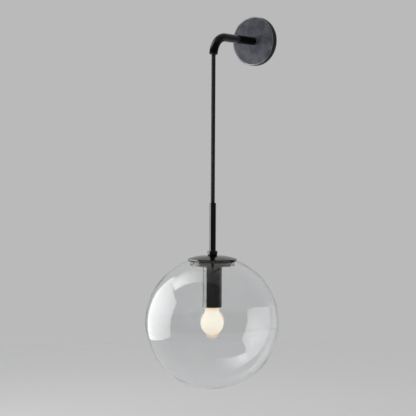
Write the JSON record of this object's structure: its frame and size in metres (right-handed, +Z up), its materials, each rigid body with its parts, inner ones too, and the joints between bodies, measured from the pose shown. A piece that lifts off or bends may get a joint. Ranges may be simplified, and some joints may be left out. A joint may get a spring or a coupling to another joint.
{
  "type": "pendant wall sconce",
  "caption": "Pendant wall sconce: round backplate, bent tube arm, straight braided cord, stem with cap, and a clear glass globe round a lamp in a slim holder sleeve.",
  "frame": {"origin": "centre of the backplate's rear rim, on the wall", "axes": "+Y into the wall, +Z up, the arm runs along -Y; the pendant hangs on the line X = 0, Y = -142 mm"},
  "size_m": [0.25, 0.2669, 0.7057],
  "materials": {
    "black_metal": "blackened steel, satin to semi-gloss",
    "grey_plate": "gunmetal grey satin with a faint patina",
    "black_steel": "black oxide",
    "zinc_steel": "zinc plated",
    "spring_steel": "bright spring steel",
    "brass": "satin",
    "plated_base": "nickel plated brass",
    "solder": "solder",
    "black_nylon": "moulded, matte",
    "white_nylon": "moulded, matte",
    "black_phenolic": "moulded phenolic",
    "brown_insulation": "extruded insulation",
    "blue_insulation": "extruded insulation",
    "green_insulation": "extruded insulation, green with a yellow stripe",
    "braided_cord": "black braided sleeve",
    "clear_band": "clear soft plastic",
    "clear_glass": "clear, polished",
    "frosted_glass": "frosted, warm white",
    "mount_glass": "clear",
    "filament": "tungsten"
  },
  "bodies": {
    "fixture": {"wall_bracket": "zinc_steel", "backplate": "grey_plate", "rim_screws": "black_steel", "arm_tube": "black_metal", "arm_insert": "zinc_steel", "arm_nipple": "zinc_steel", "arm_washer": "zinc_steel", "arm_nut": "zinc_steel", "tip_bush": "black_nylon", "arm_cord": "braided_cord", "cord_grip": "black_nylon", "grip_screw": "zinc_steel", "terminal_block": "white_nylon", "terminal_screws": "zinc_steel", "terminal_fixing": "zinc_steel", "live_core": "brown_insulation", "neutral_core": "blue_insulation", "earth_core": "green_insulation", "earth_tag": "zinc_steel", "earth_screw": "brass"},
    "cord_mouth": {"cord_flex": "braided_cord"},
    "free_cord": {"cord": "braided_cord"},
    "pendant": {"stem_tube": "black_metal", "stem_bush": "black_nylon", "stem_set_screw": "black_steel", "stem_cord": "braided_cord", "collar": "black_metal", "cap": "black_metal", "gallery_pan": "black_metal", "globe_clips": "spring_steel", "clip_rivets": "zinc_steel", "glass_gasket": "clear_band", "hanger_nipple": "zinc_steel", "sleeve_spacer": "zinc_steel", "hanger_washer": "zinc_steel", "hanger_nut": "zinc_steel", "socket_sleeve": "black_metal", "holder_cap": "black_phenolic", "holder_body": "black_phenolic", "holder_shell": "brass", "centre_contact": "brass", "lead_screws": "brass", "lamp_leads": "brown_insulation"},
    "lamp_dot": {"lamp_contact": "solder"},
    "lamp": {"lamp_insulator": "black_phenolic", "lamp_base": "plated_base", "lamp_glass": "frosted_glass", "lamp_mount": "mount_glass", "lamp_filament": "filament"},
    "globe": {"glass_globe": "clear_glass"}
  },
  "joints": [
    {"name": "swing_sideways", "type": "hinge", "parent": "fixture", "child": "cord_mouth", "pos_m": [0, -0.142, -0.03016], "axis": [0, 1, 0], "range_deg": [-25, 25]},
    {"name": "swing_in_out", "type": "hinge", "parent": "cord_mouth", "child": "free_cord", "pos_m": [0, -0.142, -0.03016], "axis": [1, 0, 0], "range_deg": [-25, 1.7]},
    {"name": "pendant_twist", "type": "hinge", "parent": "free_cord", "child": "pendant", "pos_m": [0, -0.142, -0.30996], "axis": [0, 0, 1], "range_deg": [-90, 90]},
    {"name": "globe_release", "type": "slide", "parent": "pendant", "child": "globe", "axis": [0, 0, -1], "range_m": [0, 0.15], "deforming": ["globe_clips"]},
    {"name": "lamp_travel", "type": "slide", "parent": "pendant", "child": "lamp_dot", "axis": [0, 0, -1], "range_m": [0, 0.0218]},
    {"name": "lamp_turn", "type": "hinge", "parent": "lamp_dot", "child": "lamp", "pos_m": [0, -0.142, -0.5], "axis": [0, 0, -1], "range_deg": [0, 2160]}
  ],
  "couplings": [
    {"joint": "lamp_travel", "follows": "lamp_turn", "m_per_rad": 0.00057751}
  ]
}
